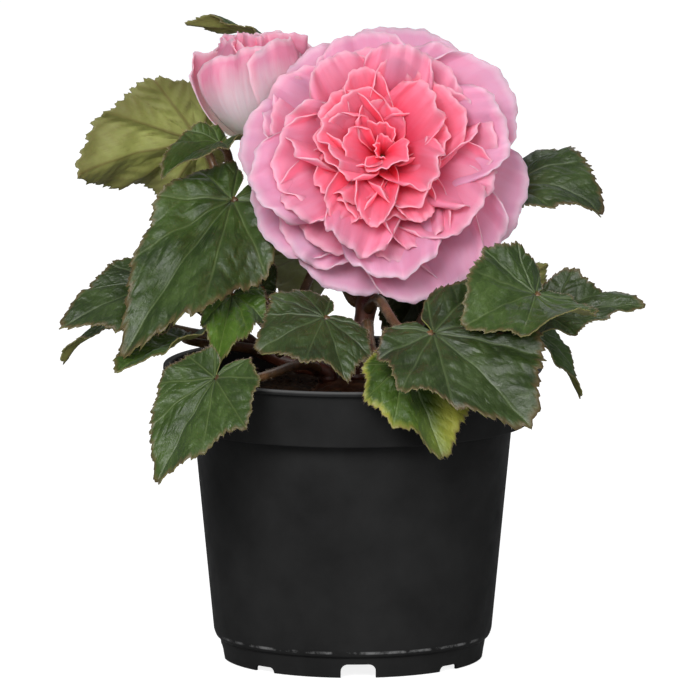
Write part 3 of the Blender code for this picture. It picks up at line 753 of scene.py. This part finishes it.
def make_tuber():
    """The tuber's crown, bumpy and ringed with old scars."""
    build = Build()
    rows, columns = 60, 120
    grid = []
    for i in range(rows):
        polar = 0.02 + (pi - 0.04) * i / (rows - 1)
        row = []
        for j in range(columns):
            turn = 2 * pi * j / columns
            way = Vector((sin(polar) * cos(turn), sin(polar) * sin(turn), cos(polar)))
            bump = 1 + 0.05 * noise.fractal(way * 3.2, 0.9, 2.0, 5) + 0.012 * sin(polar * 30)
            rise = TUBER_CENTRE + way.z * TUBER_HALF_HEIGHT * bump
            row.append((way.x * TUBER_RADIUS * bump, way.y * TUBER_RADIUS * bump, rise))
        grid.append(row)
    build.add(grid, turned_faces(rows, columns), 0)
    finish_piece(build.object("tuber_visual", ["tuber"]), "tuber_skin", "tuber")


# ---- stems and stalks ----


def crown_point(side):
    """A point of the tuber's crown, and the way out of it."""
    x, y = side[0] * MM, side[1] * MM
    rise = sqrt(1 - (x * x + y * y) / TUBER_RADIUS**2)
    point = Vector((x, y, TUBER_CENTRE + TUBER_HALF_HEIGHT * rise))
    out = Vector((x / TUBER_RADIUS**2, y / TUBER_RADIUS**2, rise / TUBER_HALF_HEIGHT))
    return point, out.normalized()


def stem_path(stem, steps):
    point, out = crown_point(stem.tuber_side)
    start = point - out * 0.6 * MM
    return smooth_path([start, start + out * 4 * MM, *map(in_metres, stem.path)], steps)


def stem_radii(stem, path):
    last = len(path) - 1
    return [(stem.thick + (stem.thin - stem.thick) * i / last) * MM for i in range(len(path))]


def point_on(path, radii, share):
    """The point at a share of a path's length, the path's direction there and the stem's radius."""
    lengths = [(b - a).length for a, b in zip(path, path[1:])]
    left = share * sum(lengths)
    for i, length in enumerate(lengths):
        if left <= length or i == len(lengths) - 1:
            t = min(left / length, 1)
            direction = (path[i + 1] - path[i]).normalized()
            return path[i].lerp(path[i + 1], t), direction, radii[i] + (radii[i + 1] - radii[i]) * t
        left -= length


STEM_BY_NAME = {stem.name: stem for stem in STEMS}


def branch_start(stem, share, towards):
    """Where a stalk leaves its stem, inside its skin, and the way it goes."""
    path = stem_path(stem, 6)
    point, direction, stem_radius = point_on(path, stem_radii(stem, path), share)
    if share >= 1:
        return point - direction * 0.5 * MM, direction
    away = towards - point
    across = (away - direction * away.dot(direction)).normalized()
    return point + across * stem_radius * 0.55, (across + direction * 0.35).normalized()


def add_stem_hairs(build, path, radii, slot, spacing, seed):
    """Fine hairs that stand out of a stalk."""
    rng = np.random.default_rng(seed)
    path = np.asarray(path, float)
    tangents, across, up = frames_along(path)
    total = np.linalg.norm(np.diff(path, axis=0), axis=1).sum()
    count = int(total / spacing)
    places = rng.uniform(0.05, 0.98, count) * (len(path) - 1)
    low = places.astype(int)
    part = (places - low)[:, None]
    centre = path[low] * (1 - part) + path[low + 1] * part
    turn = rng.uniform(0, 2 * pi, count)[:, None]
    out = np.cos(turn) * across[low] + np.sin(turn) * up[low]
    radius = np.asarray(radii)[low][:, None]
    lengths = rng.uniform(0.5, 1.0, count) * HAIR_LENGTH
    add_spikes(build, centre + out * radius * 0.97, out + 0.3 * tangents[low], lengths, HAIR_WIDTH, slot)


def make_stems():
    for number, stem in enumerate(STEMS):
        path = stem_path(stem, 10)
        radii = stem_radii(stem, path)
        radii = [r * (1 + 0.12 * max(0, sin(i * 0.45)) ** 6) for i, r in enumerate(radii)]
        build = Build()
        add_tube(build, path, radii, 0, sides=22, rough=0.035, seed=STEM_SEED + number)
        add_stem_hairs(build, path, radii, 1, STEM_HAIR_SPACING, STEM_SEED + 10 + number)
        name = "stem_" + stem.name
        finish_piece(build.object(name + "_visual", ["stem", "hair"]), "stem", name)


# ---- leaves ----


def blade_axes(leaf):
    """The blade's directions where its stalk meets it (ahead, aside, up), and its length along the arch."""
    chord = in_metres(leaf.tip) - in_metres(leaf.base)
    along = chord.normalized()
    face = Vector(leaf.face)
    face = (face - along * face.dot(along)).normalized()
    half = radians(leaf.droop) / 2
    forward = along * cos(half) + face * sin(half)
    up = face * cos(half) - along * sin(half)
    return forward, up.cross(forward), up, chord.length * half / sin(half)


def saw(x):
    """A tooth: it rises slowly and drops at once, between -1 and 1."""
    part = x - np.floor(x)
    return np.where(part < 0.72, part / 0.72, (1 - part) / 0.28) * 2 - 1


def blade_outline(angles, back, rng):
    """The blade's reach at each angle, over its length, with lobes and teeth."""
    side = np.abs(angles)
    reach = 0.43 + 0.20 * np.cos(angles) + 0.37 * np.exp(-((side / radians(17)) ** 1.5))
    reach *= 1 + 0.13 * np.sin(angles)
    reach *= 1 + (back - 1) * (1 - np.cos(angles)) / 2
    lobes = -0.05
    for vein, size in zip(VEIN_ANGLES, LOBE_SIZES):
        middle = vein + rng.normal(0, radians(2.5))
        lobes = lobes + size * rng.uniform(0.7, 1.3) * np.exp(-(((angles - middle) / radians(12)) ** 2))
    reach *= 1 + lobes
    big, small = rng.uniform(24, 28), rng.uniform(64, 74)
    drift = 0.5 * np.sin(3 * angles + rng.uniform(0, 6)) + 0.4 * np.sin(7 * angles + rng.uniform(0, 6))
    teeth = 0.024 * saw(-side * big / pi + drift) + 0.016 * saw(-side * small / pi + 2 * drift)
    reach *= 1 + teeth
    return reach * np.minimum(1, 0.3 + 0.7 * (pi - side) / radians(40))


def vein_strength(angles, reach):
    """How near each point is to a vein, 0 to 1: the palmate ones, and the ones that branch off them."""
    off = angles[..., None] - VEIN_ANGLES
    nearest = np.argmin(np.abs(off), axis=-1)
    delta = np.take_along_axis(off, nearest[..., None], -1)[..., 0]
    along, across = reach * np.cos(delta), reach * np.abs(np.sin(delta))
    main = np.exp(-((across / (0.008 * (1.35 - reach))) ** 2))
    lines = (along - 0.9 * across) / 0.105 + 0.37 * nearest + 0.5 * (delta > 0)
    spacing = np.abs(lines - np.round(lines)) * 0.105
    branch = np.exp(-((spacing / 0.006) ** 2)) * np.clip((along - 0.1) * 8, 0, 1)
    fine_lines = (along * 0.5 + across * 1.2) / 0.045 + 0.21 * nearest
    fine = np.exp(-((np.abs(fine_lines - np.round(fine_lines)) * 0.045 / 0.004) ** 2))
    quilt = np.cos(2 * pi * lines) * np.clip(along * 4, 0, 1) * np.clip(across / 0.05, 0, 1)
    return np.maximum(main, np.maximum(branch * 0.5, fine * 0.15)), across, quilt


def leaf_seed(leaf):
    """The seed of a leaf's small irregularities."""
    return 1 + LEAVES.index(leaf)


def blade_grid(leaf, rows, columns):
    """The blade's points, rows of columns, and the values that its shading needs."""
    _, ruffle, fold = LOOKS[leaf.name]
    rng = np.random.default_rng(leaf_seed(leaf))
    forward, side, up, length = (np.array(v) if isinstance(v, Vector) else v for v in blade_axes(leaf))
    angles = np.linspace(-SINUS_EDGE, SINUS_EDGE, columns)
    outline = blade_outline(angles, leaf.back, rng)
    shares = (0.02 + 0.98 * np.linspace(0, 1, rows) ** 0.85)[:, None]
    reach = shares * outline[None, :]
    wide = np.broadcast_to(angles, reach.shape)
    vein, across, quilt = vein_strength(wide, reach)
    x = reach * np.cos(wide) * length
    y = reach * np.sin(wide) * length * leaf.width
    lift = -0.006 * vein + 0.026 * (1 - np.exp(-((across / 0.06) ** 2))) - 0.0035 * quilt
    # The margin's ruffles, then crinkles all over the blade.
    for wave in (4, 7, 11, 17):
        size = ruffle * 0.16 / wave * rng.uniform(0.6, 1.2)
        lift += size * shares**2.4 * outline * np.sin(wave * wide + rng.uniform(0, 2 * pi))
    for _ in range(9):
        ways, turn = rng.uniform(4, 13, 2), rng.uniform(0, 2 * pi, 2)
        crests = np.sin(ways[0] * x / length * 2.2 + turn[0])
        lift += 0.004 * np.clip(shares * 3, 0, 1) * crests * np.sin(ways[1] * y / length * 2.2 + turn[1])
    lift += np.tan(radians(fold)) * np.abs(y) / length
    lift *= length
    curl = radians(leaf.curl) / (leaf.width * length)
    arch = radians(leaf.droop) / length
    out, rise = np.sin(curl * y) / curl, (1 - np.cos(curl * y)) / curl
    radius = 1 / arch + rise + lift
    ahead, height = np.sin(arch * x) * radius, np.cos(arch * x) * radius - 1 / arch
    base = np.array(in_metres(leaf.base))
    grid = base + ahead[..., None] * forward + out[..., None] * side + height[..., None] * up
    margin = np.broadcast_to(shares, reach.shape)
    return grid, vein, margin


def leaf_stalk_path(leaf, steps):
    """The stalk's curve, from inside its stem to just under the blade's base."""
    forward, _, up, _ = blade_axes(leaf)
    base = in_metres(leaf.base)
    start, lean = branch_start(STEM_BY_NAME[leaf.stem], leaf.share, base)
    reach = (base - start).length
    arrive = (forward * 0.45 - up * 0.3 + Vector((0, 0, 0.55))).normalized()
    leave = start + lean * reach * 0.3 + Vector((0, 0, 0.12)) * reach
    return bezier(start, leave, base - arrive * reach * 0.3, base - up * 0.5 * MM, steps)


def leaf_yellow(leaf, margin, columns):
    """How yellowed each point is: a lobe of the front right leaf, and its margin on the other side."""
    if leaf.name != "front_right":
        return np.zeros(margin.shape)
    angles = np.degrees(np.linspace(-SINUS_EDGE, SINUS_EDGE, columns))
    lobe = np.exp(-(((angles - 26) / 20) ** 2)) * np.clip((margin - 0.45) * 2.6, 0, 1)
    rim = np.clip((-angles - 10) / 25, 0, 1) * np.clip((margin - 0.86) * 7, 0, 1) * 0.8
    return np.clip(lobe + rim, 0, 1)


def make_leaf(leaf):
    rows, columns = 26, 321
    grid, vein, margin = blade_grid(leaf, rows, columns)
    build = Build()
    seed = leaf_seed(leaf)
    tone = np.full(margin.shape, LOOKS[leaf.name][0])
    yellow = leaf_yellow(leaf, margin, columns)
    add_sheet(build, grid, LEAF_THICKNESS, (0, 1, 1), vein=vein, margin=margin, tone=tone, yellow=yellow)
    path = leaf_stalk_path(leaf, 26)
    radii = [LEAF_STALK_RADIUS * (1.15 - 0.3 * i / (len(path) - 1)) for i in range(len(path))]
    add_tube(build, path, radii, 2, sides=14, rough=0.03, seed=seed, tone=0.25)
    add_stem_hairs(build, path, radii, 3, LEAF_STALK_HAIR_SPACING, seed + 100)
    rng = np.random.default_rng(seed + 200)
    edge, inner = grid[-1], grid[-3]
    picks = rng.permutation(columns)[: int(columns * 0.8)]
    out = edge[picks] - inner[picks]
    out /= np.linalg.norm(out, axis=1, keepdims=True)
    out += rng.normal(0, 0.35, out.shape)
    add_spikes(build, edge[picks], out, rng.uniform(0.4, 1.2, len(picks)) * MM, HAIR_WIDTH, 3)
    name = "leaf_" + leaf.name
    finish_piece(build.object(name + "_visual", ["leaf", "leaf_under", "stem", "hair"]), "leaf", name)


# ---- flowers ----


def flower_axes(flower):
    """The flower's axis, and the two directions across it that its petals' places are counted from."""
    axis = Vector(flower.axis).normalized()
    right = Vector((1, 0, 0))
    right = (right - axis * right.dot(axis)).normalized()
    return axis, right, axis.cross(right)


def receptacle_radius(height):
    place_at = max(0, min(height / RECEPTACLE_LENGTH, 0.999)) * (len(RECEPTACLE_RADII) - 1)
    low = int(place_at)
    thick, thin = RECEPTACLE_RADII[low:low + 2]
    return (thick + (thin - thick) * (place_at - low)) * MM


def make_flower_stalk(flower, seed):
    """A flower's stalk, from inside its stem to the top of its receptacle."""
    axis = flower_axes(flower)[0]
    base = in_metres(flower.receptacle)
    way = [in_metres(point) for point in flower.path]
    start, lean = branch_start(STEM_BY_NAME[flower.stem], flower.share, way[0])
    path = smooth_path([start, start + lean * 4 * MM, *way, base - axis * 9 * MM, base - axis * 2 * MM], 8)
    hairy = len(path) - 1
    radii = [STALK_RADIUS] * len(path)
    steps = 12
    for i in range(steps + 1):
        path.append(base + axis * RECEPTACLE_LENGTH * i / steps)
        radii.append(receptacle_radius(RECEPTACLE_LENGTH * i / steps))
    build = Build()
    add_tube(build, path, radii, 0, sides=20, rough=0.02, seed=seed, tone=0.3)
    add_stem_hairs(build, path[:hairy], radii[:hairy], 1, STEM_HAIR_SPACING, seed + 1)
    stalk = build.object(flower.stalk + "_visual", ["stem", "hair"])
    finish_piece(stalk, "stem", flower.stalk)


def petal_swell(share):
    """A petal's width at a share of its length, over its widest: a fan that stays broad to its tip."""
    return sin(0.5 * pi * min(1, share / 0.82)) ** 0.85 * (1 - 0.5 * max(0, share - 0.82))


def petal_grid(flower, whorl, order, rng, rows, columns):
    """A petal's points: a ruffled patch on a surface turned about the flower's axis."""
    axis, right, up = (np.array(v) for v in flower_axes(flower))
    lifted = order % 2
    height = whorl.height * MM + lifted * 1.7 * MM
    radius = receptacle_radius(height) - 0.6 * MM
    middle = radians(whorl.angles[order] + rng.normal(0, 3))
    length = whorl.length * MM * rng.uniform(0.92, 1.05)
    step = length / (rows - 1)
    across = np.linspace(-1, 1, columns)
    phases = rng.uniform(0, 2 * pi, 8)
    lean, twist = rng.normal(0, 5), rng.normal(0, 1.6)
    points, along_values = [], []
    for row in range(rows):
        share = row / (rows - 1)
        half = 0.5 * whorl.width * MM * max(0.14, petal_swell(share))
        bend = (whorl.opening_out - whorl.opening_in) * share**0.9
        opening = radians(whorl.opening_in + bend + lean - 4 * lifted)
        turn = np.minimum(half / radius, radians(75)) * across
        cut = (1 - np.sqrt(1 - 0.96 * across**2)) * length * 0.27 * share**1.5
        scallops = np.sin(4 * across + phases[0]) + 0.7 * np.sin(13 * across + phases[1])
        cut += length * 0.012 * share**4 * scallops
        cut += length * 0.006 * share**6 * np.sin(31 * across + phases[6])
        tilt = np.array([cos(opening), sin(opening)])
        ahead = height - cut * tilt[0]
        out = radius - cut * tilt[1]
        ripple = share**1.6 * (
            0.9 * np.sin(3.1 * across + phases[2] + 1.2 * share)
            + 0.6 * np.sin(6.3 * across + phases[3] + 2 * share)
            + 0.4 * share**3 * np.sin(12 * across + phases[4])
            + 0.2 * share**5 * np.sin(23 * across + phases[7])
        )
        ripple += share * 0.5 * np.sin(4 * share + phases[5])
        cup = whorl.pleat * np.abs(across) ** 1.6 * share * (1 - 0.35 * share) + twist * across * share**1.3
        push = (whorl.ruffle * ripple * 1.5 + cup) * MM
        ahead = ahead + push * tilt[1]
        out = out - push * tilt[0]
        angle = middle + turn
        way = np.cos(angle)[:, None] * right + np.sin(angle)[:, None] * up
        points.append(np.array(in_metres(flower.receptacle)) + ahead[:, None] * axis + out[:, None] * way)
        along_values.append(np.full(columns, share))
        radius += step * sin(opening)
        height += step * cos(opening)
    return np.array(points), np.array(along_values), np.broadcast_to(across, (rows, columns))


def make_petals(flower, whorls, seed):
    rows, columns = 34, 37
    for number, whorl in enumerate(whorls):
        for order in range(len(whorl.angles)):
            rng = np.random.default_rng(seed + number * 100 + order)
            grid, along, across = petal_grid(flower, whorl, order, rng, rows, columns)
            margin = np.maximum(along, np.abs(across) * np.minimum(1, along * 3))
            build = Build()
            tone = np.full(along.shape, rng.uniform())
            marks = {"along": along, "across": across, "margin": margin, "tone": tone}
            add_sheet(build, grid[:, ::-1], PETAL_THICKNESS, (0, 0, 0), **marks)
            name = f"{whorl.name}_petal_{order + 1}"
            petal = build.object(name + "_visual", ["petal_" + whorl.material])
            slot = "petal_coral" if whorl.material == "inner" else "petal_pink"
            finish_piece(petal, slot, *([name] if whorl.nodes else []))


# ---- camera, floor and light ----


def make_camera():
    data = bpy.data.cameras.new("camera")
    data.lens = FOCAL_LENGTH
    data.sensor_width = SENSOR_WIDTH
    data.clip_end = 100
    camera = new_object("camera", data)
    away = Vector((0, -cos(ELEVATION), sin(ELEVATION)))
    camera.location = TARGET + away * DISTANCE
    camera.rotation_euler = (-away).to_track_quat("-Z", "Y").to_euler()
    bpy.context.scene.camera = camera


def make_stage():
    """A pale floor that glows to the camera alone, so that it shows white and keeps the shadow."""
    body = bmesh.new()
    bmesh.ops.create_grid(body, x_segments=1, y_segments=1, size=8)
    floor = object_of("floor", body)
    floor.location.z = -0.2 * MM
    s = Shading("floor", 0.9, 0.1)
    s.colour((FLOOR_GREY, FLOOR_GREY, FLOOR_GREY, 1))
    to_camera = s.add("ShaderNodeLightPath", "Is Camera Ray")
    glow = s.add("ShaderNodeEmission", Color=(FLOOR_GLOW, FLOOR_GLOW, FLOOR_GLOW, 1), Strength=to_camera)
    added = s.tree.nodes.new("ShaderNodeAddShader")
    s.put(added.inputs[0], s.shader.outputs[0])
    s.put(added.inputs[1], glow)
    s.put(s.tree.nodes["Material Output"].inputs["Surface"], added.outputs[0])
    floor.data.materials.append(s.material)


def make_world():
    """Soft light all round, white where the camera sees past the floor."""
    world = bpy.data.worlds.new("world")
    bpy.context.scene.world = world
    world.use_nodes = True
    tree = world.node_tree
    lit = tree.nodes["Background"]
    lit.inputs["Color"].default_value = (0.93, 0.96, 1, 1)
    lit.inputs["Strength"].default_value = SKY_LIGHT
    white = tree.nodes.new("ShaderNodeBackground")
    white.inputs["Color"].default_value = (1, 1, 1, 1)
    path = tree.nodes.new("ShaderNodeLightPath")
    either = tree.nodes.new("ShaderNodeMath")
    either.operation = "MAXIMUM"
    tree.links.new(path.outputs["Is Camera Ray"], either.inputs[0])
    tree.links.new(path.outputs["Is Transmission Ray"], either.inputs[1])
    mixed = tree.nodes.new("ShaderNodeMixShader")
    tree.links.new(either.outputs[0], mixed.inputs[0])
    tree.links.new(lit.outputs[0], mixed.inputs[1])
    tree.links.new(white.outputs[0], mixed.inputs[2])
    tree.links.new(mixed.outputs[0], tree.nodes["World Output"].inputs["Surface"])


def make_lamp(name, place, size, power):
    data = bpy.data.lights.new(name, "AREA")
    data.shape = "DISK"
    data.size = size
    data.energy = power
    lamp = new_object(name, data)
    lamp.location = place
    lamp.rotation_euler = (LAMP_TARGET - Vector(place)).to_track_quat("-Z", "Y").to_euler()


make_camera()
make_stage()
make_world()
for lamp in LAMPS:
    make_lamp(*lamp)

make_pot()
make_soil()
make_tuber()
make_stems()
for leaf in LEAVES:
    make_leaf(leaf)
for flower, whorls, seed in (
    (MAIN_FLOWER, MAIN_WHORLS, MAIN_FLOWER_SEED), (REAR_FLOWER, REAR_WHORLS, REAR_FLOWER_SEED),
):
    make_flower_stalk(flower, seed)
    make_petals(flower, whorls, seed)

bpy.context.scene.view_settings.view_transform = "Standard"
